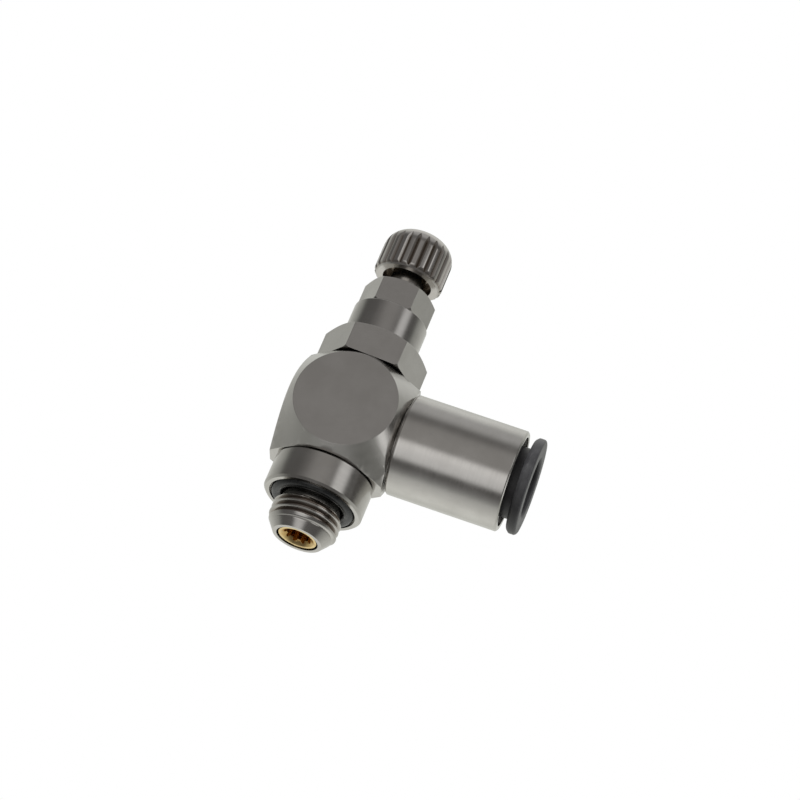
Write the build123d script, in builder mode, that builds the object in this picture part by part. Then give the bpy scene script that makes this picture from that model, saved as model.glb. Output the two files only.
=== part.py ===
from build123d import *
import os
from math import tan, radians, sqrt

# Swivel-elbow flow regulator for compressed air: a G 1/8 stem, a push-in arm for 8 mm tube, and a needle
# screw with a knurled knob and a lock nut. Millimetres. The stem axis is Z, with the thread down and the
# knob up; the tube arm points along +X; the origin is on the stem axis, in the collar's sealing face.

# ---- driving dimensions: stem thread and collar
thread_major = 9.728        # G 1/8 parallel pipe thread
thread_pitch = 0.907
thread_depth = 0.581
thread_turns = 4
first_groove = 0.5          # turns from the relief to the first groove
groove_mouth = 0.48         # across each groove at the thread's crest
thread_reach = 5.5          # sealing face to tip
tip_drop = 1.164            # thread's outside to the tip's rim, radially
tip_taper = 1.8
relief_drop = 0.135         # thread's root to the relief, radially
relief_width = 1.0
collar_rim = 0.85           # collar's outside to its groove, radially
collar_height = 4.7
collar_bevel = 0.3
face_groove_width = 2.0
face_groove_depth = 1.2
face_ring_cord = 1.6

# ---- driving dimensions: swivel block
block_width = 16.0          # square bar
block_height = 15.6
face_circle = 14.1          # turned flat on the front and rear faces
corner_cut = 32.0           # angle of the turned corner cuts from the Y axis
shank_wall = 1.09           # round the bonnet's spigot
chamber_depth = 1.15        # radial, beyond the swivel bore
chamber_height = 6.3
passage_diameter = 6.0

# ---- driving dimensions: bonnet
bonnet_flats = 13.0
bonnet_turn = 5.5           # where tightening left the hexagon, degrees from square to the block
bonnet_hex_height = 4.6
bonnet_neck_diameter = 10.7
bonnet_neck_height = 5.1
spigot_wall = 0.91          # round the needle's barrel
bonnet_thread_length = 5.9  # bore that the needle's rod screws through, down from the neck's top
spigot_length = 2.4

# ---- driving dimensions: needle, lock nut and knob
needle_pitch = 0.5
turns_to_close = 3.75
turns_to_open = 4.25
needle_barrel = 5.9
needle_barrel_length = 3.2
needle_rod = 4.9
needle_shaft = 3.0
needle_taper = 3.0
needle_tip = 1.0
nut_flats = 9.0
nut_turn = 1.5
nut_height = 4.1
knob_diameter = 10.0
knob_height = 7.45
knob_shoulder = 2.8
knob_crown = 0.35
knob_flutes = 24
flute_depth = 0.38           # also each side of the flute's middle, at the knob's outside
knob_recess_diameter = 7.2
knob_recess_depth = 1.3
knob_grip = 5.3             # length of the rod held in the knob

# ---- driving dimensions: seat nozzle and check lip
port_bore = 5.9
nozzle_gap = 0.25           # ring of air between the nozzle and the port bore
nozzle_inset = 0.15         # nozzle's mouth above the stem's tip
nozzle_flange = 1.0
nozzle_boss_wall = 1.0      # round the orifice
nozzle_boss_height = 2.6
nozzle_bore = 3.5
nozzle_mouth = 4.7
nozzle_flutes = 10
nozzle_flute_radius = 0.3
nozzle_flute_stop = 2.0     # solid length between the flutes' end and the shelf
orifice_diameter = 2.4
orifice_length = 2.0
orifice_cone = 0.4
lip_heel = 0.9              # height of the rubber heel in its groove
lip_groove_depth = 0.3
lip_groove_top = 0.7        # orifice's rim to the groove
lip_thickness = 0.4
lip_gap = 0.15              # lip's edge above the nozzle's flange
notch_count = 4
notch_width = 1.2
cross_hole = 2.8
cross_hole_margin = 0.7     # cross holes to the nozzle below them and the spigot above
cross_holes = 4

# ---- driving dimensions: tube arm
tube_diameter = 8.0
tube_guide_clearance = 0.16
sleeve_wall = 0.8           # at the mouth
boss_diameter = 11.2
boss_length = 4.2
tube_stop = 0.8
tube_guide_length = 3.2
sleeve_ring_cord = 1.0
tube_ring_cord = 1.52
gland_length = 2.0
mouth_ring_wall = 0.6       # round the collet's barb
support_thickness = 0.65
support_length = 1.4
support_wall = 1.0
support_relief = 0.1        # support ring's bore beyond the tube guide's
grip_thickness = 0.3
grip_teeth = 10
grip_slot = 0.5
tooth_relief = 0.1          # tooth roots inside the support ring's web, teeth above its lip
mouth_ring_land = 1.6       # narrow bore that guides the collet's neck
mouth_ring_recess = 0.6     # mouth ring's face below the sleeve's mouth
collet_clearance = 0.1      # round the tube
collet_wall = 0.9
collet_flange_height = 1.75 # beyond the neck, radially
collet_flange_thickness = 1.5
collet_travel = 1.0
collet_barb = 0.55
collet_barb_length = 0.8
collet_nose_gap = 0.15      # axial, pushed collet to the grip ring
collet_lead = 0.35          # taper of the collet's nose
collet_back_bevel = 0.45    # bevel on the rear of the collet's flange

# ---- fits and clearances (radial unless said otherwise)
running_fit = 0.04          # shank in the swivel bore, barrel in the bonnet, rod in its thread
ring_fit = 0.03             # sealing ring to the wall it slides on
screwed_fit = 0.02          # screwed or pressed joints inside one rigid group
collet_fit = 0.08
barb_clearance = 0.15
collet_stop_gap = 0.1       # axial
swivel_gap = 0.2            # axial, block to collar and block to bonnet
nut_gap = 0.03              # axial, lock nut to bonnet
knob_stop_gap = 0.3         # axial, knob to lock nut with the valve shut
open_stop_gap = 0.075       # axial, needle barrel to bonnet with the valve fully open
seat_clearance = 0.05
edge = 0.25                 # small edge break
swivel_ring_cord = 1.0      # the needle's ring has the same cord
ring_inset = 0.6            # block's end faces to the nearer side of the ring grooves
groove_slack = 0.3          # groove width beyond the ring's cord

# ---- levels along the stem
block_bottom = collar_height + swivel_gap
block_top = block_bottom + block_height
arm_z = block_bottom + block_height / 2
hex_bottom = block_top + swivel_gap
hex_top = hex_bottom + bonnet_hex_height
neck_top = hex_top + bonnet_neck_height
spigot_bottom = arm_z + cross_hole / 2 + cross_hole_margin
skirt_bottom = spigot_bottom + spigot_length
nut_bottom = neck_top + nut_gap
nut_top = nut_bottom + nut_height
close_travel = turns_to_close * needle_pitch
open_travel = turns_to_open * needle_pitch
knob_bottom = nut_top + knob_stop_gap + close_travel
knob_top = knob_bottom + knob_height
orifice_top = arm_z - cross_hole / 2 - cross_hole_margin
flange_top = orifice_top - nozzle_boss_height
shelf_height = flange_top - nozzle_flange
nozzle_bottom = nozzle_inset - thread_reach

# ---- radii shared by several pieces
thread_r = thread_major / 2
root_r = thread_r - thread_depth
relief_r = root_r - relief_drop
face_groove_r = relief_r + face_groove_width
collar_r = face_groove_r + collar_rim
barrel_r = needle_barrel / 2
barrel_bore_r = barrel_r + running_fit
rod_bore_r = needle_rod / 2 + running_fit
spigot_r = barrel_bore_r + spigot_wall
stem_bore_r = spigot_r + screwed_fit
shank_r = stem_bore_r + shank_wall
bore_r = shank_r + running_fit
chamber_r = bore_r + chamber_depth
nozzle_r = port_bore / 2 - nozzle_gap
half_groove = (swivel_ring_cord + groove_slack) / 2
ring_outer_r = bore_r - ring_fit
groove_floor_r = ring_outer_r - swivel_ring_cord

# ---- stations along the arm, measured from the stem axis
sleeve_start = block_width / 2 + swivel_gap
boss_end = block_width / 2 + boss_length
tube_seat = boss_end + tube_stop
gland_start = tube_seat + tube_guide_length
gland_end = gland_start + gland_length
grip_start = gland_end + support_length
grip_end = grip_start + grip_thickness
barb_stop = grip_end + collet_travel + collet_nose_gap + collet_barb_length + collet_stop_gap
ring_end = barb_stop + mouth_ring_land
sleeve_end = ring_end + mouth_ring_recess
flange_start = sleeve_end + collet_stop_gap + collet_travel
guide_r = tube_diameter / 2 + tube_guide_clearance / 2
gland_r = guide_r + tube_ring_cord
collet_bore_r = tube_diameter / 2 + collet_clearance
neck_r = collet_bore_r + collet_wall
barb_r = neck_r + collet_barb
mouth_r = barb_r + barb_clearance + mouth_ring_wall
sleeve_r = mouth_r + sleeve_wall
flange_r = neck_r + collet_flange_height

arm_axis = Axis((0, 0, arm_z), (1, 0, 0))
# profiles of stem pieces are drawn as (radius, height), profiles of arm pieces as (radius, station)
stem_profile = Plane.XZ
arm_profile = Plane(origin=(0, 0, arm_z), x_dir=(0, 0, 1), z_dir=(0, 1, 0))

pieces = []


def keep(name, part):
    """Label a finished piece and put it on the list to be written."""
    part.label = name
    pieces.append(part)


def turned(name, points, about_arm=False):
    """A plain turned piece: a closed outline of (radius, place) points revolved about its axis."""
    with BuildPart() as piece:
        with BuildSketch(arm_profile if about_arm else stem_profile):
            with BuildLine():
                Polyline(*points, close=True)
            make_face()
        revolve(axis=arm_axis if about_arm else Axis.Z)
    keep(name, piece.part)


def round_ring(name, mean_radius, cord, place, about_arm=False):
    """An O-ring of round section, centred at a height on the stem or a station on the arm."""
    with BuildPart() as piece:
        with BuildSketch(arm_profile if about_arm else stem_profile):
            with Locations((mean_radius, place)):
                Circle(cord / 2)
        revolve(axis=arm_axis if about_arm else Axis.Z)
    keep(name, piece.part)


def hexagon_blank(flats, bottom, height, turn):
    """Hexagonal bar end with its corners turned off: a full 30 degree cut above, a small one below."""
    corner = flats / sqrt(3)
    face_r = flats / 2 - edge / 2
    cut = (corner - face_r) * tan(radians(30))
    with BuildPart() as blank:
        with BuildSketch(Plane.XY.offset(bottom)):
            RegularPolygon(flats / 2, 6, major_radius=False, rotation=turn)
        extrude(amount=height)
        with BuildSketch(stem_profile):
            with BuildLine():
                Polyline(
                    (0, bottom), (corner - edge, bottom), (corner, bottom + edge),
                    (corner, bottom + height - cut), (face_r, bottom + height), (0, bottom + height),
                    close=True,
                )
            make_face()
        revolve(axis=Axis.Z, mode=Mode.INTERSECT)
    return blank.part


# ---- threaded stem: collar, port thread below it, hollow shank that the block turns on
taper_top = -thread_reach + tip_taper
lower_ring_z = block_bottom + ring_inset + half_groove
with BuildPart() as threaded_stem:
    with BuildSketch(stem_profile):
        with BuildLine():
            Polyline(
                (port_bore / 2, -thread_reach), (thread_r - tip_drop, -thread_reach), (thread_r, taper_top),
                (thread_r, -relief_width), (relief_r, -relief_width),
                (relief_r, face_groove_depth), (face_groove_r, face_groove_depth), (face_groove_r, 0),
                (collar_r - collar_bevel, 0),
                (collar_r, collar_bevel), (collar_r, collar_height - edge),
                (collar_r - edge, collar_height), (shank_r, collar_height), (shank_r, skirt_bottom),
                (stem_bore_r, skirt_bottom), (stem_bore_r, shelf_height), (port_bore / 2, shelf_height),
                close=True,
            )
        make_face()
    revolve(axis=Axis.Z)
    # ring grooves stand in for the turns of the thread
    with BuildSketch(stem_profile):
        for turn in range(thread_turns):
            groove_z = -relief_width - thread_pitch * (turn + first_groove)
            with BuildLine():
                Polyline(
                    (root_r, groove_z), (thread_r + thread_depth / 4, groove_z + 0.625 * groove_mouth),
                    (thread_r + thread_depth / 4, groove_z - 0.625 * groove_mouth), close=True,
                )
            make_face()
    revolve(axis=Axis.Z, mode=Mode.SUBTRACT)
    # groove of the lower swivel ring
    with BuildSketch(stem_profile):
        with Locations(((groove_floor_r + bore_r) / 2, lower_ring_z)):
            Rectangle(bore_r - groove_floor_r, swivel_ring_cord + groove_slack)
    revolve(axis=Axis.Z, mode=Mode.SUBTRACT)
    # cross holes that let the air into the block's chamber
    with Locations(Plane(origin=(0, 0, arm_z), z_dir=(1, 0, 0))):
        for turn in range(cross_holes // 2):
            with Locations(Rotation(360 * turn / cross_holes, 0, 0)):
                Cylinder(cross_hole / 2, 2 * bore_r, mode=Mode.SUBTRACT)
keep("threaded_stem", threaded_stem.part)

round_ring("port_face_o_ring", (relief_r + face_groove_r) / 2, face_ring_cord,
           face_groove_depth - face_ring_cord / 2)
round_ring("swivel_o_ring_lower", ring_outer_r - swivel_ring_cord / 2, swivel_ring_cord, lower_ring_z)

# ---- seat nozzle: brass bush with the needle's orifice at its top and flutes in its open lower bore
orifice_bottom = orifice_top - orifice_length
nozzle_boss_r = orifice_diameter / 2 + nozzle_boss_wall
lip_groove_r = nozzle_boss_r - lip_groove_depth
lip_groove_z = orifice_top - lip_groove_top - lip_heel
with BuildPart() as seat_nozzle:
    with BuildSketch(stem_profile):
        with BuildLine():
            Polyline(
                (nozzle_mouth / 2, nozzle_bottom), (nozzle_r, nozzle_bottom),
                (nozzle_r, shelf_height), (spigot_r, shelf_height), (spigot_r, flange_top),
                (nozzle_boss_r, flange_top), (nozzle_boss_r, lip_groove_z), (lip_groove_r, lip_groove_z),
                (lip_groove_r, lip_groove_z + lip_heel), (nozzle_boss_r, lip_groove_z + lip_heel),
                (nozzle_boss_r, orifice_top), (orifice_diameter / 2, orifice_top),
                (orifice_diameter / 2, orifice_bottom), (nozzle_bore / 2, orifice_bottom - orifice_cone),
                (nozzle_bore / 2, nozzle_bottom + (nozzle_mouth - nozzle_bore) / 2), close=True,
            )
        make_face()
    revolve(axis=Axis.Z)
    # flutes of the lower bore
    with BuildSketch(Plane.XY.offset(nozzle_bottom)):
        with PolarLocations(nozzle_bore / 2, nozzle_flutes):
            Circle(nozzle_flute_radius)
    extrude(amount=shelf_height - nozzle_bottom - nozzle_flute_stop, mode=Mode.SUBTRACT)
    # notches that let the returning air past the flange
    with BuildSketch(Plane.XY.offset(shelf_height)):
        with PolarLocations(spigot_r, notch_count):
            Rectangle(2 * (spigot_r - nozzle_r), notch_width)
    extrude(amount=nozzle_flange, mode=Mode.SUBTRACT)
keep("seat_nozzle", seat_nozzle.part)

# ---- check lip: rubber cup in the nozzle's groove, its lip flared down against the stem's bore
lip_r = stem_bore_r - ring_fit
lip_tip_z = flange_top + lip_gap
turned("check_lip_seal", [
    (lip_groove_r, lip_groove_z), (lip_groove_r, lip_groove_z + lip_heel),
    (nozzle_boss_r + 2 * lip_thickness, lip_groove_z + lip_heel), (lip_r, lip_tip_z + lip_thickness),
    (lip_r, lip_tip_z), (lip_r - lip_thickness, lip_tip_z),
    (nozzle_boss_r + lip_thickness, lip_groove_z),
])

# ---- bonnet: hexagon, round neck, plain skirt inside the block and screwed spigot in the stem
upper_ring_z = block_top - ring_inset - half_groove
barrel_ceiling = neck_top - bonnet_thread_length
bonnet_hexagon = hexagon_blank(bonnet_flats, hex_bottom, bonnet_hex_height, bonnet_turn)
with BuildPart() as bonnet:
    add(bonnet_hexagon)
    with BuildSketch(stem_profile):
        with BuildLine():
            Polyline(
                (0, spigot_bottom), (spigot_r, spigot_bottom), (spigot_r, skirt_bottom),
                (shank_r, skirt_bottom), (shank_r, hex_bottom), (shank_r, hex_top),
                (bonnet_neck_diameter / 2, hex_top), (bonnet_neck_diameter / 2, neck_top - edge),
                (bonnet_neck_diameter / 2 - edge, neck_top), (0, neck_top), close=True,
            )
        make_face()
    revolve(axis=Axis.Z)
    with BuildSketch(stem_profile):
        with BuildLine():
            Polyline(
                (0, spigot_bottom), (barrel_bore_r, spigot_bottom), (barrel_bore_r, barrel_ceiling),
                (rod_bore_r, barrel_ceiling), (rod_bore_r, neck_top), (0, neck_top), close=True,
            )
        make_face()
    revolve(axis=Axis.Z, mode=Mode.SUBTRACT)
    with BuildSketch(stem_profile):
        with Locations(((groove_floor_r + bore_r) / 2, upper_ring_z)):
            Rectangle(bore_r - groove_floor_r, swivel_ring_cord + groove_slack)
    revolve(axis=Axis.Z, mode=Mode.SUBTRACT)
keep("bonnet", bonnet.part)

round_ring("swivel_o_ring_upper", ring_outer_r - swivel_ring_cord / 2, swivel_ring_cord, upper_ring_z)

# ---- lock nut on the needle's rod, tightened down on the bonnet's neck
nut_hexagon = hexagon_blank(nut_flats, nut_bottom, nut_height, nut_turn)
with BuildPart() as lock_nut:
    add(nut_hexagon)
    with Locations((0, 0, nut_top)):
        CounterSinkHole(rod_bore_r, rod_bore_r + edge, depth=nut_height)
keep("lock_nut", lock_nut.part)

# ---- needle screw: tapered tip, plain shaft, grooved barrel and threaded rod, turned in one piece
barrel_top = barrel_ceiling - open_travel - open_stop_gap
barrel_bottom = barrel_top - needle_barrel_length
taper_slope = (needle_shaft - needle_tip) / 2 / needle_taper
seat_contact = (orifice_diameter / 2 - seat_clearance - needle_tip / 2) / taper_slope
tip_z = orifice_top - seat_contact + close_travel
needle_ring_r = barrel_bore_r - ring_fit
needle_floor_r = needle_ring_r - swivel_ring_cord
needle_ring_z = (barrel_bottom + barrel_top) / 2
turned("needle_screw", [
    (0, tip_z), (needle_tip / 2, tip_z), (needle_shaft / 2, tip_z + needle_taper),
    (needle_shaft / 2, barrel_bottom), (barrel_r, barrel_bottom),
    (barrel_r, needle_ring_z - half_groove), (needle_floor_r, needle_ring_z - half_groove),
    (needle_floor_r, needle_ring_z + half_groove), (barrel_r, needle_ring_z + half_groove),
    (barrel_r, barrel_top), (needle_rod / 2, barrel_top), (needle_rod / 2, knob_bottom + knob_grip),
    (0, knob_bottom + knob_grip),
])
round_ring("needle_o_ring", needle_ring_r - swivel_ring_cord / 2, swivel_ring_cord, needle_ring_z)

# ---- adjusting knob: domed, straight-fluted, hollow below, pressed on the rod
knob_r = knob_diameter / 2
crown_r = knob_r - knob_shoulder
shoulder_z = knob_top - knob_crown - knob_shoulder
with BuildPart() as adjusting_knob:
    with BuildSketch(stem_profile):
        with BuildLine():
            Polyline(
                (crown_r, knob_top - knob_crown), (crown_r, knob_bottom), (0, knob_bottom), (0, knob_top),
            )
            ThreePointArc(
                (0, knob_top), (crown_r / 2, knob_top - knob_crown / 4), (crown_r, knob_top - knob_crown),
            )
        make_face()
        with BuildLine():
            Polyline(
                (crown_r, knob_top - knob_crown), (crown_r, knob_bottom), (knob_r - 2 * edge, knob_bottom),
                (knob_r, knob_bottom + 2 * edge), (knob_r, shoulder_z),
            )
            CenterArc((crown_r, shoulder_z), knob_shoulder, 0, 90)
        make_face()
    revolve(axis=Axis.Z)
    with BuildSketch(stem_profile):
        with BuildLine():
            Polyline(
                (0, knob_bottom), (knob_recess_diameter / 2, knob_bottom),
                (knob_recess_diameter / 2, knob_bottom + knob_recess_depth),
                (needle_rod / 2 + screwed_fit, knob_bottom + knob_recess_depth),
                (needle_rod / 2 + screwed_fit, knob_bottom + knob_grip + screwed_fit),
                (0, knob_bottom + knob_grip + screwed_fit), close=True,
            )
        make_face()
    revolve(axis=Axis.Z, mode=Mode.SUBTRACT)
    with BuildSketch(Plane.XY.offset(knob_bottom)):
        with PolarLocations(knob_r, knob_flutes):
            Polygon(
                (-flute_depth, 0), (flute_depth, 2 * flute_depth), (flute_depth, -2 * flute_depth),
                align=None,
            )
    extrude(amount=knob_height, mode=Mode.SUBTRACT)
keep("adjusting_knob", adjusting_knob.part)

# ---- swivel block: square bar with turned front and rear faces, a stepped bore and the arm's boss
half = block_width / 2
cut_slope = tan(radians(corner_cut))
cone_r = face_circle / 2 + half * cut_slope
boss_r = boss_diameter / 2
boss_floor_r = boss_r - sleeve_ring_cord
boss_ring_x = block_width / 2 + boss_length / 2
with BuildPart() as banjo_body:
    with BuildSketch(Plane.XY.offset(block_bottom)):
        Rectangle(block_width, block_width)
    extrude(amount=block_height)
    with BuildSketch(Plane(origin=(0, 0, arm_z), x_dir=(1, 0, 0), z_dir=(0, 0, 1))):
        with BuildLine():
            Polyline(
                (0, -half), (face_circle / 2, -half), (cone_r, 0), (face_circle / 2, half), (0, half),
                close=True,
            )
        make_face()
    revolve(axis=Axis((0, 0, arm_z), (0, 1, 0)), mode=Mode.INTERSECT)
    # boss that carries the sleeve, with a groove for its sealing ring
    with BuildSketch(arm_profile):
        with BuildLine():
            Polyline(
                (0, chamber_r), (boss_r, chamber_r), (boss_r, boss_ring_x - half_groove),
                (boss_floor_r, boss_ring_x - half_groove), (boss_floor_r, boss_ring_x + half_groove),
                (boss_r, boss_ring_x + half_groove), (boss_r, boss_end - edge), (boss_r - edge, boss_end),
                (0, boss_end), close=True,
            )
        make_face()
    revolve(axis=arm_axis)
    # stepped vertical bore with lead-in edges
    chamber_top = arm_z + chamber_height / 2
    chamber_floor = arm_z - chamber_height / 2
    with BuildSketch(stem_profile):
        with BuildLine():
            Polyline(
                (0, block_bottom), (bore_r + edge, block_bottom), (bore_r, block_bottom + edge),
                (bore_r, chamber_floor), (chamber_r, chamber_floor), (chamber_r, chamber_top),
                (bore_r, chamber_top), (bore_r, block_top - edge), (bore_r + edge, block_top),
                (0, block_top),
                close=True,
            )
        make_face()
    revolve(axis=Axis.Z, mode=Mode.SUBTRACT)
    # air passage into the arm
    with BuildSketch(Plane(origin=(0, 0, arm_z), z_dir=(1, 0, 0))):
        Circle(passage_diameter / 2)
    extrude(amount=boss_end, mode=Mode.SUBTRACT)
keep("banjo_body", banjo_body.part)
round_ring("sleeve_o_ring", boss_r - sleeve_ring_cord / 2, sleeve_ring_cord, boss_ring_x, about_arm=True)

# ---- arm sleeve: turned tube pressed on the boss, bored in steps for the tube, its seal and the collet
turned("arm_sleeve", [
    (boss_r + screwed_fit, sleeve_start), (sleeve_r - edge, sleeve_start), (sleeve_r, sleeve_start + edge),
    (sleeve_r, sleeve_end - edge), (sleeve_r - edge, sleeve_end), (mouth_r, sleeve_end),
    (mouth_r, gland_end), (gland_r, gland_end), (gland_r, gland_start), (guide_r, gland_start),
    (guide_r, tube_seat), (passage_diameter / 2, tube_seat),
    (passage_diameter / 2, boss_end + screwed_fit), (boss_r + screwed_fit, boss_end + screwed_fit),
], about_arm=True)

tube_ring_x = (gland_start + gland_end) / 2
round_ring("tube_o_ring", (gland_r + guide_r) / 2, tube_ring_cord, tube_ring_x, about_arm=True)

# ---- support ring: keeps the tube seal in its gland and spaces the grip ring off it
support_web_r = mouth_r - support_wall
support_lip_r = guide_r + support_relief
turned("seal_support_ring", [
    (support_lip_r, gland_end), (mouth_r - screwed_fit, gland_end), (mouth_r - screwed_fit, grip_start),
    (support_web_r, grip_start), (support_web_r, gland_end + support_thickness),
    (support_lip_r, gland_end + support_thickness),
], about_arm=True)

# ---- grip ring: spring steel washer whose slotted teeth lean inwards and bite the tube
tooth_root_r = support_web_r - tooth_relief
tooth_tip_r = guide_r + collet_fit
tooth_lean = grip_start - gland_end - support_thickness - tooth_relief
slot_overrun = 0.2
with BuildPart() as grip_ring:
    with BuildSketch(arm_profile):
        with BuildLine():
            Polyline(
                (mouth_r - screwed_fit, grip_start), (mouth_r - screwed_fit, grip_end),
                (tooth_root_r, grip_end), (tooth_tip_r, grip_end - tooth_lean),
                (tooth_tip_r, grip_start - tooth_lean), (tooth_root_r, grip_start), close=True,
            )
        make_face()
    revolve(axis=arm_axis)
    with BuildSketch(Plane(origin=(gland_end, 0, arm_z), z_dir=(1, 0, 0))):
        with PolarLocations((tooth_root_r + tooth_tip_r) / 2 - slot_overrun, grip_teeth):
            Rectangle(tooth_root_r - tooth_tip_r + 2 * slot_overrun, grip_slot)
    extrude(amount=grip_end - gland_end, mode=Mode.SUBTRACT)
keep("grip_ring", grip_ring.part)

# ---- mouth ring: pressed into the sleeve, clamps the grip ring and stops the collet's barb
barb_back = barb_stop - collet_stop_gap
turned("mouth_ring", [
    (barb_r + barb_clearance, grip_end), (mouth_r - screwed_fit, grip_end),
    (mouth_r - screwed_fit, ring_end - edge), (mouth_r - screwed_fit - edge, ring_end),
    (neck_r + collet_fit + edge, ring_end), (neck_r + collet_fit, ring_end - edge),
    (neck_r + collet_fit, barb_stop), (barb_r + barb_clearance, barb_stop),
], about_arm=True)

# ---- release collet: flanged sleeve that is pushed in to free the tube
collet_end = flange_start + collet_flange_thickness
collet_nose = barb_back - collet_barb_length
with BuildPart() as release_collet:
    with BuildSketch(arm_profile):
        with BuildLine():
            Polyline(
                (collet_bore_r, collet_nose), (barb_r - collet_lead, collet_nose),
                (barb_r, collet_nose + collet_lead), (barb_r, barb_back), (neck_r, barb_back),
                (neck_r, flange_start), (flange_r - collet_back_bevel, flange_start),
                (flange_r, flange_start + collet_back_bevel), (flange_r, collet_end - edge),
                (flange_r - edge, collet_end), (collet_bore_r + edge, collet_end),
                (collet_bore_r, collet_end - edge), close=True,
            )
        make_face()
    revolve(axis=arm_axis)
keep("release_collet", release_collet.part)

os.makedirs("parts", exist_ok=True)
for piece in pieces:
    export_step(piece, f"parts/{piece.label}.step")
    print(piece.label, round(piece.volume, 2))
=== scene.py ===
from math import cos, hypot, pi, radians, sin

import bpy
from mathutils import Matrix, Vector


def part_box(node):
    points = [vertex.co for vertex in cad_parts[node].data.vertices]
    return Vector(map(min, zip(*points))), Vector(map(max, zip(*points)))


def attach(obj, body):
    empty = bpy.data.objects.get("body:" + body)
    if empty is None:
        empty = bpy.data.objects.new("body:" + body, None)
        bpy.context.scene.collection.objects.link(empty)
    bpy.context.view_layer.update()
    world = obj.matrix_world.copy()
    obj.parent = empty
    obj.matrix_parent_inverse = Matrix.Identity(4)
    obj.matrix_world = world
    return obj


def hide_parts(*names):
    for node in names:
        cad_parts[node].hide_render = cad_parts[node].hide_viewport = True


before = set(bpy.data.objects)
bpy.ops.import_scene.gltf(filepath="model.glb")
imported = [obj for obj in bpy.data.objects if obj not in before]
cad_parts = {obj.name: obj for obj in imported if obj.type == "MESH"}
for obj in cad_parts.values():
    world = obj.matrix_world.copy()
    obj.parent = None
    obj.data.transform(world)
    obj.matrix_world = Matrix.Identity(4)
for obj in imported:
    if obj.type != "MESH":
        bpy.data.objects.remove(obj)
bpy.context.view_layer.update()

mm = 0.001
merge_gap = 0.002 * mm


# ---- threaded stem: turned from brass bar and nickel plated. Its G 1/8 thread is cut with a chaser and
# runs out on the tip's long bevel; the collar above it carries the face seal, and the hollow shank
# above the collar is what the block swivels on.
def only(piece):
    """Deselect everything, then select this piece and make it the active one."""
    bpy.ops.object.select_all(action="DESELECT")
    piece.select_set(True)
    bpy.context.view_layer.objects.active = piece


def machined_copy(name, node):
    """A copy of a CAD node with its doubles merged and its flat faces made whole, ready to be worked on."""
    piece = bpy.data.objects.new(name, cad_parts[node].data.copy())
    bpy.context.scene.collection.objects.link(piece)
    only(piece)
    bpy.ops.mesh.customdata_custom_splitnormals_clear()
    bpy.ops.object.mode_set(mode="EDIT")
    bpy.ops.mesh.select_all(action="SELECT")
    bpy.ops.mesh.remove_doubles(threshold=merge_gap)
    bpy.ops.mesh.dissolve_limited(angle_limit=radians(0.4))
    bpy.ops.object.mode_set(mode="OBJECT")
    return piece


def break_edges(piece, width, segments=2):
    """Tumbled edges: a small round on every sharp edge."""
    sharp_from = 24
    only(piece)
    bevel = piece.modifiers.new("edges", "BEVEL")
    bevel.width = width
    bevel.segments = segments
    bevel.limit_method = "ANGLE"
    bevel.angle_limit = radians(sharp_from)
    bpy.ops.object.modifier_apply(modifier=bevel.name)


def even_shading(piece):
    """Smooth shading between the edges, with the large faces kept flat."""
    smooth_below = 32
    only(piece)
    bpy.ops.object.shade_smooth_by_angle(angle=radians(smooth_below))
    normals = piece.modifiers.new("faces", "WEIGHTED_NORMAL")
    normals.keep_sharp = True
    bpy.ops.object.modifier_apply(modifier=normals.name)


def coat(piece, material):
    """Give a piece one material all over."""
    piece.data.materials.clear()
    piece.data.materials.append(material)


def cut_thread(name, pitch, crest, root, bottom, top, bottom_r, top_r, tip_slope, top_slope, steps=96):
    """The skin of an outside thread: one groove's profile screwed up the axis, then trimmed to its blank."""
    profile_cuts = 13
    root_share, flank_share, rounding = 0.14, 0.68, 0.18
    start = bottom - 1.5 * pitch
    turns = int((top - bottom) / pitch) + 4
    bpy.ops.object.select_all(action="DESELECT")
    bpy.ops.mesh.primitive_plane_add(size=pitch, location=(0, 0, 0))
    skin = bpy.context.object
    skin.name = name
    bpy.ops.object.mode_set(mode="EDIT")
    bpy.ops.mesh.select_all(action="SELECT")
    bpy.ops.mesh.delete(type="ONLY_FACE")
    bpy.ops.object.mode_set(mode="OBJECT")
    for vertex in skin.data.vertices:
        vertex.select = vertex.co.x < 0
    bpy.ops.object.mode_set(mode="EDIT")
    bpy.ops.mesh.delete(type="VERT")
    bpy.ops.mesh.select_all(action="SELECT")
    bpy.ops.mesh.subdivide(number_cuts=profile_cuts)
    bpy.ops.object.mode_set(mode="OBJECT")
    for vertex in skin.data.vertices:
        along = vertex.co.y / pitch + 0.5
        rise = 1 - abs(2 * along - 1)
        flank = min(max((rise - root_share) / flank_share, 0), 1)
        flank = flank * (1 - rounding) + rounding * flank * flank * (3 - 2 * flank)
        vertex.co = (root + (crest - root) * flank, 0, start + along * pitch)
    screw = skin.modifiers.new("helix", "SCREW")
    screw.axis = "Z"
    screw.steps = screw.render_steps = steps
    screw.screw_offset = pitch
    screw.iterations = turns
    screw.use_merge_vertices = True
    screw.merge_threshold = merge_gap
    only(skin)
    bpy.ops.object.modifier_apply(modifier=screw.name)
    for vertex in skin.data.vertices:
        x, y, z = vertex.co
        r = hypot(x, y)
        if z <= bottom or z >= top:
            z, new_r = (bottom, bottom_r) if z <= bottom else (top, top_r)
        else:
            new_r = min(r, bottom_r + (z - bottom) * tip_slope, top_r + (top - z) * top_slope)
        vertex.co = (x * new_r / r, y * new_r / r, z)
    bpy.ops.object.mode_set(mode="EDIT")
    bpy.ops.mesh.select_all(action="SELECT")
    bpy.ops.mesh.remove_doubles(threshold=merge_gap)
    bpy.ops.object.mode_set(mode="OBJECT")
    return skin


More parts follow.
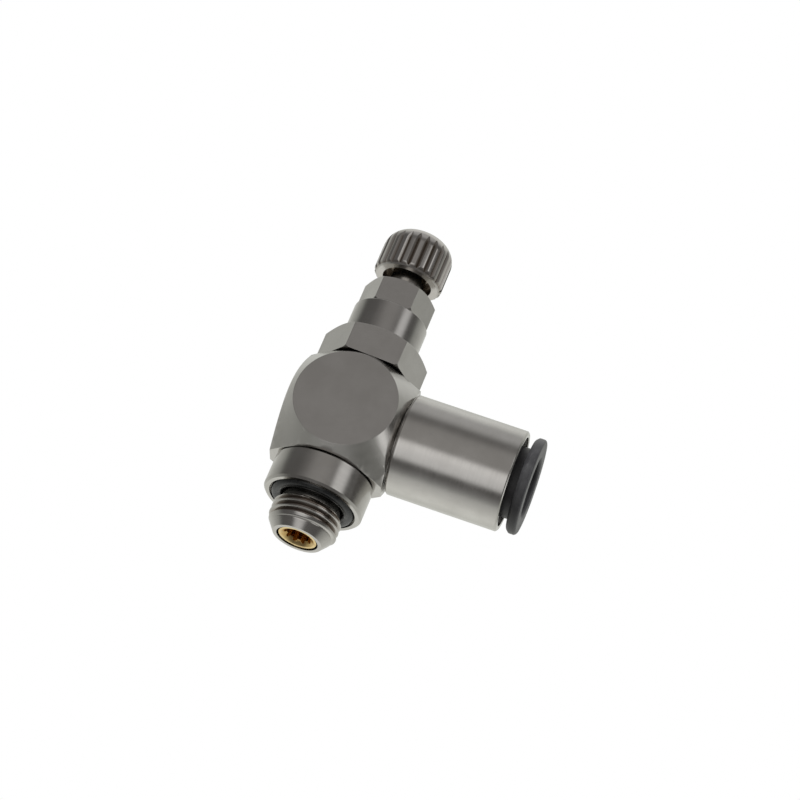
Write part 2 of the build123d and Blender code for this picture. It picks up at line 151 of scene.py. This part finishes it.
def close_on(piece, skin, levels):
    """Join the thread's skin to its blank, and fill the ring between the open edges at each level."""
    level_slack = 0.02 * mm
    only(piece)
    skin.select_set(True)
    bpy.ops.object.join()
    for level in levels:
        mesh = piece.data
        uses = {}
        for face in mesh.polygons:
            for key in face.edge_keys:
                uses[key] = uses.get(key, 0) + 1
        bpy.ops.object.mode_set(mode="EDIT")
        bpy.ops.mesh.select_all(action="DESELECT")
        bpy.ops.mesh.select_mode(type="EDGE")
        bpy.ops.object.mode_set(mode="OBJECT")
        for edge in mesh.edges:
            heights = [mesh.vertices[i].co.z for i in edge.vertices]
            edge.select = uses.get(tuple(sorted(edge.vertices)), 0) == 1 and all(
                abs(h - level) < level_slack for h in heights)
        bpy.ops.object.mode_set(mode="EDIT")
        bpy.ops.mesh.fill(use_beauty=True)
        bpy.ops.object.mode_set(mode="OBJECT")
    bpy.ops.object.mode_set(mode="EDIT")
    bpy.ops.mesh.select_mode(type="VERT")
    bpy.ops.mesh.select_all(action="SELECT")
    bpy.ops.mesh.remove_doubles(threshold=merge_gap)
    bpy.ops.mesh.normals_make_consistent(inside=False)
    bpy.ops.object.mode_set(mode="OBJECT")


def delete_faces(piece, unwanted):
    """Take away the faces whose corners all pass a test."""
    only(piece)
    bpy.ops.object.mode_set(mode="EDIT")
    bpy.ops.mesh.select_all(action="DESELECT")
    bpy.ops.mesh.select_mode(type="FACE")
    bpy.ops.object.mode_set(mode="OBJECT")
    for face in piece.data.polygons:
        face.select = all(unwanted(piece.data.vertices[i].co) for i in face.vertices)
    bpy.ops.object.mode_set(mode="EDIT")
    bpy.ops.mesh.delete(type="FACE")
    bpy.ops.object.mode_set(mode="OBJECT")


def open_wall(piece, low, high, inner_r):
    """Take away the faces outside a radius and between two heights, where a thread will be cut."""
    slack = 0.001 * mm
    delete_faces(piece, lambda c: low - slack < c.z < high + slack and hypot(c.x, c.y) > inner_r)


def tip_face_off(piece, level, inner_r):
    """Take away the flat end face at a level, as far in as its bore."""
    slack = 0.005 * mm
    delete_faces(piece, lambda c: abs(c.z - level) < slack and hypot(c.x, c.y) > inner_r)


tip, relief_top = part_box("threaded_stem")[0].z, -1.0 * mm
thread_crest, thread_root, relief_r = 4.864 * mm, 4.283 * mm, 4.148 * mm
thread_pitch, tip_bevel_length, relief_slope = 0.907 * mm, 1.8 * mm, 1.4
tip_r, port_bore_r = 3.5 * mm, 2.95 * mm
bore_slack = 0.05 * mm

stem = machined_copy("stem_turned", "threaded_stem")
open_wall(stem, tip, relief_top, port_bore_r + bore_slack)
tip_face_off(stem, tip, port_bore_r - bore_slack)
break_edges(stem, 0.06 * mm)
stem_thread = cut_thread(
    "stem_thread", thread_pitch, thread_crest, thread_root, tip, relief_top,
    tip_r, relief_r + 0.06 * mm, (thread_crest - tip_r) / tip_bevel_length, relief_slope)
close_on(stem, stem_thread, (tip, relief_top))
even_shading(stem)


class Shader:
    """A material under construction: adds nodes and wires them, so that each finish reads as its layers."""

    def __init__(self, name, rough, metal=0.0, ior=1.5):
        self.material = bpy.data.materials.new(name)
        self.material.use_nodes = True
        self.tree = self.material.node_tree
        self.surface = self.tree.nodes["Principled BSDF"]
        self.surface.inputs["Roughness"].default_value = rough
        self.surface.inputs["Metallic"].default_value = metal
        self.surface.inputs["IOR"].default_value = ior

    def add(self, kind, inputs=None, **settings):
        node = self.tree.nodes.new("ShaderNode" + kind)
        for key, value in settings.items():
            setattr(node, key, value)
        for key, value in (inputs or {}).items():
            if isinstance(value, bpy.types.NodeSocket):
                self.tree.links.new(value, node.inputs[key])
            else:
                node.inputs[key].default_value = value
        return node

    def put(self, socket, value):
        self.tree.links.new(value, self.surface.inputs[socket])

    def maths(self, operation, a, b=0.0, c=0.0):
        return self.add("Math", {0: a, 1: b, 2: c}, operation=operation).outputs[0]

    def round_axis(self, vector):
        """A place's x, its height z and its distance from the Z axis."""
        x, y, z = self.add("SeparateXYZ", {0: vector}).outputs[:3]
        squares = self.maths("ADD", self.maths("MULTIPLY", x, x), self.maths("MULTIPLY", y, y))
        return x, z, self.maths("SQRT", squares)

    def place(self, centre=(0, 0, 0), turn=(0, 0, 0)):
        """Object coordinates moved to a centre and turned, so that the piece's own axis is Z."""
        here = self.add("TexCoord").outputs["Object"]
        moved = self.add("VectorMath", {0: here, 1: centre}, operation="SUBTRACT").outputs[0]
        return self.add("Mapping", {"Vector": moved, "Rotation": turn}).outputs[0]

    def noise(self, vector, scale, detail=3.0, rough=0.5):
        return self.add("TexNoise", {"Vector": vector, "Scale": scale, "Detail": detail,
                                     "Roughness": rough}).outputs["Fac"]

    def ramp(self, value, low, high, to_low, to_high):
        return self.add("MapRange", {"Value": value, "From Min": low, "From Max": high,
                                     "To Min": to_low, "To Max": to_high}).outputs["Result"]

    def mix(self, share, a, b):
        node = self.add("Mix", data_type="RGBA")
        for socket, value in ((0, share), (6, a), (7, b)):
            if isinstance(value, bpy.types.NodeSocket):
                self.tree.links.new(value, node.inputs[socket])
            else:
                node.inputs[socket].default_value = value
        return node.outputs[2]

    def bump(self, height, strength, distance):
        node = self.add("Bump", {"Height": height, "Strength": strength, "Distance": distance})
        self.put("Normal", node.outputs["Normal"])
        return node


def plated(name, tone, shade, rough, rough_spread, centre, turn, marks, mark_depth, painted_root_shade=None):
    """Nickel over machined brass: circular tool marks round the piece's axis, soft clouds in the plate,
    and fine specks. marks is how many tool marks there are in a millimetre; the last argument, when given,
    is the radii and the heights of the roots and flutes, where the colour is darkened as painted shade, and
    that shade's colour."""
    cloud_scale, speck_scale = 260.0, 5200.0
    fade_in, fade_out = 0.1 * mm, 0.6 * mm
    s = Shader(name, rough, metal=1.0)
    axis_space = s.place(centre, turn)
    x, z, radius = s.round_axis(axis_space)
    rings = s.add("CombineXYZ", {0: radius, 1: s.maths("MULTIPLY", x, 0.02), 2: z}).outputs[0]
    fine = s.noise(rings, marks * 1000.0, 4.0, 0.62)
    coarse = s.noise(rings, marks * 230.0, 2.0, 0.5)
    clouds = s.noise(axis_space, cloud_scale, 3.0, 0.55)
    specks = s.noise(axis_space, speck_scale, 2.0, 0.7)
    lines = s.maths("ADD", s.maths("MULTIPLY", fine, 0.65), s.maths("MULTIPLY", coarse, 0.35))
    colour = s.mix(s.ramp(clouds, 0.34, 0.68, 0.0, 1.0), (*shade, 1), (*tone, 1))
    # painted shade: between these radii and heights the colour turns darker and browner in the roots and
    # flutes
    if painted_root_shade:
        inner, outer, low, high, root_shade_colour = painted_root_shade
        depth = s.ramp(radius, inner, outer, 1.0, 0.0)
        within = s.maths("MULTIPLY", s.ramp(z, low, low + fade_in, 0.0, 1.0),
                         s.ramp(z, high - fade_out, high, 1.0, 0.0))
        colour = s.mix(s.maths("MULTIPLY", depth, within), colour, (*root_shade_colour, 1))
    s.put("Base Color", colour)
    varied = s.ramp(lines, 0.32, 0.68, rough - rough_spread, rough + rough_spread)
    s.put("Roughness", s.maths("ADD", varied, s.ramp(clouds, 0.3, 0.7, -0.03, 0.03)))
    height = s.maths("ADD", lines, s.maths("MULTIPLY", specks, 0.22))
    s.bump(height, 1.0, mark_depth)
    return s.material


# the thread's roots get a painted shade: a darker, browner colour between the crests
stem_plate = plated("nickel_turned_stem", (0.60, 0.585, 0.56), (0.53, 0.515, 0.49), 0.19, 0.05,
                    (0, 0, 0), (0, 0, 0), 9.0, 0.0009 * mm,
                    (4.40 * mm, 4.80 * mm, -3.9 * mm, -0.7 * mm, (0.31, 0.27, 0.24)))
coat(stem, stem_plate)
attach(stem, "stem")
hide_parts("threaded_stem")


# ---- face seal: nitrile O-ring held in the groove under the collar. Moulded, so it is smooth and faintly
# glossy, with a dusting of talc and assembly grease that breaks up its shine.
def rubber(name, rough=0.27):
    s = Shader(name, rough, ior=1.52)
    here = s.place()
    dust = s.noise(here, 900.0, 4.0, 0.6)
    grain = s.noise(here, 9000.0, 2.0, 0.6)
    dusty = s.ramp(dust, 0.45, 0.75, 0.0, 1.0)
    s.put("Base Color", s.mix(dusty, (0.016, 0.017, 0.018, 1), (0.040, 0.042, 0.042, 1)))
    s.put("Roughness", s.ramp(dust, 0.35, 0.7, rough - 0.08, rough + 0.16))
    s.bump(s.maths("ADD", grain, s.maths("MULTIPLY", dust, 0.6)), 1.0, 0.004 * mm)
    return s.material


nitrile = rubber("nitrile_rubber")
for node in ("port_face_o_ring", "swivel_o_ring_lower", "check_lip_seal", "swivel_o_ring_upper",
             "needle_o_ring", "sleeve_o_ring", "tube_o_ring"):
    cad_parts[node].data.materials[0] = nitrile


# ---- seat nozzle: bare brass bush pressed into the stem. Drilled, fluted by a broach in its open end,
# and left unplated, so it is yellow; towards its axis, in the bore and the flutes, it is painted darker and
# browner as painted shade.
def brass(name, axis_turn=(0, 0, 0)):
    s = Shader(name, 0.22, metal=1.0)
    here = s.place((0, 0, 0), axis_turn)
    _, z, radius = s.round_axis(here)
    rings = s.add("CombineXYZ", {0: radius, 1: 0.0, 2: z}).outputs[0]
    marks = s.noise(rings, 9000.0, 3.0, 0.6)
    stain = s.noise(here, 700.0, 3.0, 0.6)
    brass_own_tone = s.mix(s.ramp(stain, 0.4, 0.72, 0.0, 1.0), (0.90, 0.71, 0.36, 1), (0.74, 0.52, 0.22, 1))
    # painted shade: towards the axis the colour turns darker and browner
    s.put("Base Color", s.mix(s.ramp(radius, 1.85 * mm, 2.45 * mm, 0.0, 1.0), (0.62, 0.40, 0.15, 1), brass_own_tone))
    s.put("Roughness", s.ramp(marks, 0.3, 0.7, 0.10, 0.26))
    s.bump(marks, 1.0, 0.002 * mm)
    return s.material


bare_brass = brass("bare_brass")
nozzle = machined_copy("nozzle_fluted", "seat_nozzle")
break_edges(nozzle, 0.03 * mm)
even_shading(nozzle)
coat(nozzle, bare_brass)
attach(nozzle, "stem")
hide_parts("seat_nozzle")


# ---- swivel block: square brass bar, faced and coned on a lathe front and rear, bored through for the
# stem and turned down on one side to the boss that carries the arm. Satin nickel plate.
arm_z = (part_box("arm_sleeve")[0].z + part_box("arm_sleeve")[1].z) / 2
block = machined_copy("block_faced", "banjo_body")
break_edges(block, 0.17 * mm)
even_shading(block)
block_plate = plated("nickel_faced_block", (0.60, 0.585, 0.565), (0.54, 0.525, 0.505), 0.22, 0.04,
                     (0, 0, arm_z), (pi / 2, 0, 0), 7.0, 0.0007 * mm)
coat(block, block_plate)
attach(block, "swivel_body")
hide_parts("banjo_body")


# ---- bonnet: hexagon, round neck and hollow spigot turned from one bar, screwed down on the shank so
# that it traps the block. Nickel plated over fine turning marks.
bonnet = machined_copy("bonnet_hexagon", "bonnet")
break_edges(bonnet, 0.09 * mm)
even_shading(bonnet)
bonnet_plate = plated("nickel_turned_bonnet", (0.59, 0.575, 0.555), (0.52, 0.505, 0.485), 0.18, 0.04,
                      (0, 0, 0), (0, 0, 0), 10.0, 0.0007 * mm)
coat(bonnet, bonnet_plate)
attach(bonnet, "stem")
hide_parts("bonnet")


# ---- needle screw: tapered tip, sealed barrel and finely threaded rod, turned in one piece from brass
# and plated. The rod's plain wall reaches 0.005 mm below barrel_top, so open_wall leaves it in place
# and it covers the thread cut here.
rod_r, rod_root_r = 2.45 * mm, 2.17 * mm
rod_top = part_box("needle_screw")[1].z
rod_length, rod_pitch, rod_core_r = 19.7 * mm, 0.5 * mm, 2.0 * mm
barrel_top = rod_top - rod_length
needle = machined_copy("needle_turned", "needle_screw")
open_wall(needle, barrel_top, rod_top, rod_core_r)
rod_thread = cut_thread(
    "rod_thread", rod_pitch, rod_r, rod_root_r, barrel_top, rod_top,
    rod_root_r, rod_root_r, 1.0, 1.0, steps=48)
close_on(needle, rod_thread, (barrel_top, rod_top))
# the fine thread's roots get a painted shade: a darker, browner colour between the crests
needle_plate = plated("nickel_fine_thread", (0.60, 0.58, 0.55), (0.50, 0.48, 0.45), 0.22, 0.05,
                      (0, 0, 0), (0, 0, 0), 10.0, 0.001 * mm,
                      (2.20 * mm, 2.42 * mm, barrel_top, rod_top + 1 * mm, (0.22, 0.19, 0.165)))
coat(needle, needle_plate)
even_shading(needle)
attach(needle, "adjuster")
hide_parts("needle_screw")


# ---- lock nut: thin hexagon nut cut from bar and plated, run down on the bonnet's neck once the flow is
# set. Same lathe and same plate as the bonnet.
lock_nut = machined_copy("lock_nut_hexagon", "lock_nut")
break_edges(lock_nut, 0.08 * mm)
even_shading(lock_nut)
coat(lock_nut, bonnet_plate)
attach(lock_nut, "lock_nut")
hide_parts("lock_nut")


# ---- knob: brass cap with 24 straight flutes and a domed end, hollow below, pressed on the needle's rod.
# Plated last; the flutes are painted darker and browner as painted shade.
knob_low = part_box("adjusting_knob")[0].z
flutes_low, flutes_high = knob_low + 0.15 * mm, knob_low + 5.2 * mm
knob = machined_copy("knob_fluted", "adjusting_knob")
break_edges(knob, 0.06 * mm)
even_shading(knob)
# the flutes get a painted shade: a darker, browner colour
knob_plate = plated("nickel_fluted_knob", (0.62, 0.60, 0.58), (0.54, 0.515, 0.49), 0.17, 0.04,
                    (0, 0, 0), (0, 0, 0), 8.0, 0.0009 * mm,
                    (4.62 * mm, 4.97 * mm, flutes_low, flutes_high, (0.235, 0.20, 0.165)))
coat(knob, knob_plate)
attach(knob, "adjuster")
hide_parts("adjusting_knob")


# ---- arm sleeve: thin turned tube pressed over the block's boss, with the tube's seal and grip inside it.
# Its outside keeps the fine rings of the finishing cut under the plate.
sleeve = machined_copy("sleeve_turned", "arm_sleeve")
break_edges(sleeve, 0.07 * mm)
even_shading(sleeve)
sleeve_plate = plated("nickel_turned_sleeve", (0.62, 0.605, 0.58), (0.55, 0.535, 0.51), 0.19, 0.06,
                      (0, 0, arm_z), (0, pi / 2, 0), 8.0, 0.0022 * mm)
coat(sleeve, sleeve_plate)
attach(sleeve, "swivel_body")
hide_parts("arm_sleeve")


# ---- release collet and mouth ring: moulded black acetal. The collet's flange is pushed in with a
# fingertip to let go of the tube; both have the fine matt grain of a spark-eroded mould.
def acetal(name, rough):
    s = Shader(name, rough, ior=1.48)
    here = s.place()
    grain = s.noise(here, 7000.0, 3.0, 0.6)
    scuff = s.noise(here, 420.0, 4.0, 0.6)
    scuffed = s.ramp(scuff, 0.42, 0.72, 0.0, 1.0)
    s.put("Base Color", s.mix(scuffed, (0.030, 0.030, 0.032, 1), (0.055, 0.055, 0.057, 1)))
    s.put("Roughness", s.ramp(scuff, 0.35, 0.7, rough - 0.06, rough + 0.10))
    s.bump(grain, 1.0, 0.006 * mm)
    return s.material


black_acetal = acetal("black_acetal", 0.42)
collet = machined_copy("collet_moulded", "release_collet")
break_edges(collet, 0.14 * mm, 3)
even_shading(collet)
coat(collet, black_acetal)
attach(collet, "collet")
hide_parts("release_collet")
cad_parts["mouth_ring"].data.materials[0] = black_acetal


# ---- support ring and grip ring: what holds the tube, inside the sleeve. The support ring is turned
# brass; the grip ring is stamped from spring strip, with ten teeth that lean inwards.
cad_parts["seal_support_ring"].data.materials[0] = brass("bare_brass_arm", (0, pi / 2, 0))
strip = Shader("spring_strip", 0.3, metal=1.0)
strip_grain = strip.noise(strip.place(), 6000.0, 3.0, 0.6)
strip_worn = strip.ramp(strip_grain, 0.4, 0.7, 0.0, 1.0)
strip.put("Base Color", strip.mix(strip_worn, (0.55, 0.54, 0.52, 1), (0.42, 0.41, 0.40, 1)))
strip.put("Roughness", strip.ramp(strip_grain, 0.3, 0.7, 0.22, 0.4))
strip.bump(strip_grain, 1.0, 0.003 * mm)
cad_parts["grip_ring"].data.materials[0] = strip.material


# ---- bench: a plain pale floor well below the valve and the camera. The room is darker on the camera's
# side, with five soft patches of light in it, and two panels light the valve itself.
floor_z, floor_size = -0.2, 4.0
bpy.ops.object.select_all(action="DESELECT")
bpy.ops.mesh.primitive_plane_add(size=floor_size, location=(0, 0, floor_z))
floor = bpy.context.object
floor.name = "pale_floor"
paper = Shader("pale_paper", 0.9)
paper_grain = paper.noise(paper.place(), 40.0, 4.0, 0.6)
paper_tone = paper.mix(paper_grain, (0.90, 0.90, 0.89, 1), (0.93, 0.93, 0.92, 1))
paper.put("Base Color", paper_tone)
paper.put("Emission Color", paper_tone)
paper.surface.inputs["Emission Strength"].default_value = 0.55
floor.data.materials.append(paper.material)
floor.visible_glossy = floor.visible_diffuse = floor.visible_shadow = False

world = bpy.data.worlds.new("soft_room")
bpy.context.scene.world = world
world.use_nodes = True
room = world.node_tree
room.nodes.clear()


def room_node(kind, inputs=None, **settings):
    node = room.nodes.new("ShaderNode" + kind)
    for key, value in settings.items():
        setattr(node, key, value)
    for key, value in (inputs or {}).items():
        if isinstance(value, bpy.types.NodeSocket):
            room.links.new(value, node.inputs[key])
        else:
            node.inputs[key].default_value = value
    return node


def towards(azimuth, elevation):
    """Direction from the valve: azimuth 0 is the front and 90 the tube's side, in degrees."""
    a, e = radians(azimuth), radians(elevation)
    return Vector((sin(a) * cos(e), -cos(a) * cos(e), sin(e)))


facing = room_node("TexCoord").outputs["Generated"]
depth = room_node("VectorMath", {0: facing, 1: (0, 1, 0)}, operation="DOT_PRODUCT").outputs["Value"]
wall_place = room_node("MapRange", {"Value": depth, "From Min": -1.0, "From Max": 1.0}).outputs["Result"]
walls = room_node("ValToRGB", {0: wall_place})
warm_side, warm_tint, cool_tint = 0.45, (1.01, 0.98, 0.955), (0.99, 1.0, 0.945)
stops = ((0.0, 0.33), (0.06, 0.30), (0.11, 0.20), (0.20, 0.13), (0.43, 0.11), (0.49, 0.15), (0.57, 0.34),
         (0.72, 0.50), (0.85, 0.64), (1.0, 0.72))
ramp = walls.color_ramp
while len(ramp.elements) < len(stops):
    ramp.elements.new(0.5)
for stop, (depth_share, level) in zip(ramp.elements, stops):
    tint = warm_tint if depth_share < warm_side else cool_tint
    stop.position = depth_share
    stop.color = (*(level * part for part in tint), 1)
light = walls.outputs["Color"]
# each patch of light: azimuth, elevation, full and fading angle from its middle, level
lamps = ((49, 18, 8, 20, 0.62), (-8, -36, 13, 27, 0.58), (0, 90, 16, 46, 0.36), (96, -6, 8, 19, 0.75),
         (180, -62, 20, 50, 0.20))
for azimuth, elevation, core, edge, level in lamps:
    aim = room_node("VectorMath", {0: facing, 1: towards(azimuth, elevation)}, operation="DOT_PRODUCT")
    disc = room_node("MapRange", {"Value": aim.outputs["Value"], "From Min": cos(radians(edge)),
                                  "From Max": cos(radians(core)), "To Max": level},
                     interpolation_type="SMOOTHSTEP").outputs["Result"]
    light = room_node("VectorMath", {0: light, 1: disc}, operation="ADD").outputs[0]
panel_middle, panel_distance = Vector((0, 0, 0.018)), 0.3
panels = (("key_panel", -38, 34, 0.22, 1.6), ("fill_panel", 62, 10, 0.16, 0.7))
for name, azimuth, elevation, size, power in panels:
    panel = bpy.data.lights.new(name, "AREA")
    panel.shape = "DISK"
    panel.size = size
    panel.energy = power
    held = bpy.data.objects.new(name, panel)
    bpy.context.scene.collection.objects.link(held)
    aim = towards(azimuth, elevation)
    facing_valve = aim.to_track_quat("Z", "Y").to_matrix().to_4x4()
    held.matrix_world = Matrix.Translation(aim * panel_distance + panel_middle) @ facing_valve
    held.visible_camera = held.visible_glossy = False
seen = room_node("LightPath").outputs["Is Camera Ray"]
inside = room_node("Background", {"Color": light, "Strength": 1.0}).outputs[0]
backdrop = room_node("Background", {"Color": (1, 1, 1, 1), "Strength": 1.0}).outputs[0]
choice = room_node("MixShader", {0: seen, 1: inside, 2: backdrop}).outputs[0]
room_node("OutputWorld", {"Surface": choice})


# ---- camera: below and in front of the valve, a little to the tube's side, rolled so that the stem
# leans to the right.
camera_azimuth, camera_elevation, roll = 9.408, -26.447, radians(22.794)
target = Vector((5.557, 0.0, 18.964)) * mm
distance = 360.0 * mm
frame_width, focal_widths = 36.0, 3.293875
away = towards(camera_azimuth, camera_elevation)
level_right = towards(camera_azimuth + 90, 0)
level_up = towards(camera_azimuth, camera_elevation + 90)
right = level_right * cos(roll) + level_up * sin(roll)
up = level_up * cos(roll) - level_right * sin(roll)
lens = bpy.data.cameras.new("camera")
lens.sensor_width = frame_width
lens.lens = focal_widths * frame_width
lens.clip_start, lens.clip_end = 0.005, 10.0
camera = bpy.data.objects.new("camera", lens)
bpy.context.scene.collection.objects.link(camera)
turned = Matrix((right, up, away)).transposed().to_4x4()
camera.matrix_world = Matrix.Translation(target + away * distance) @ turned
bpy.context.scene.camera = camera
bpy.context.scene.view_settings.view_transform = "Standard"
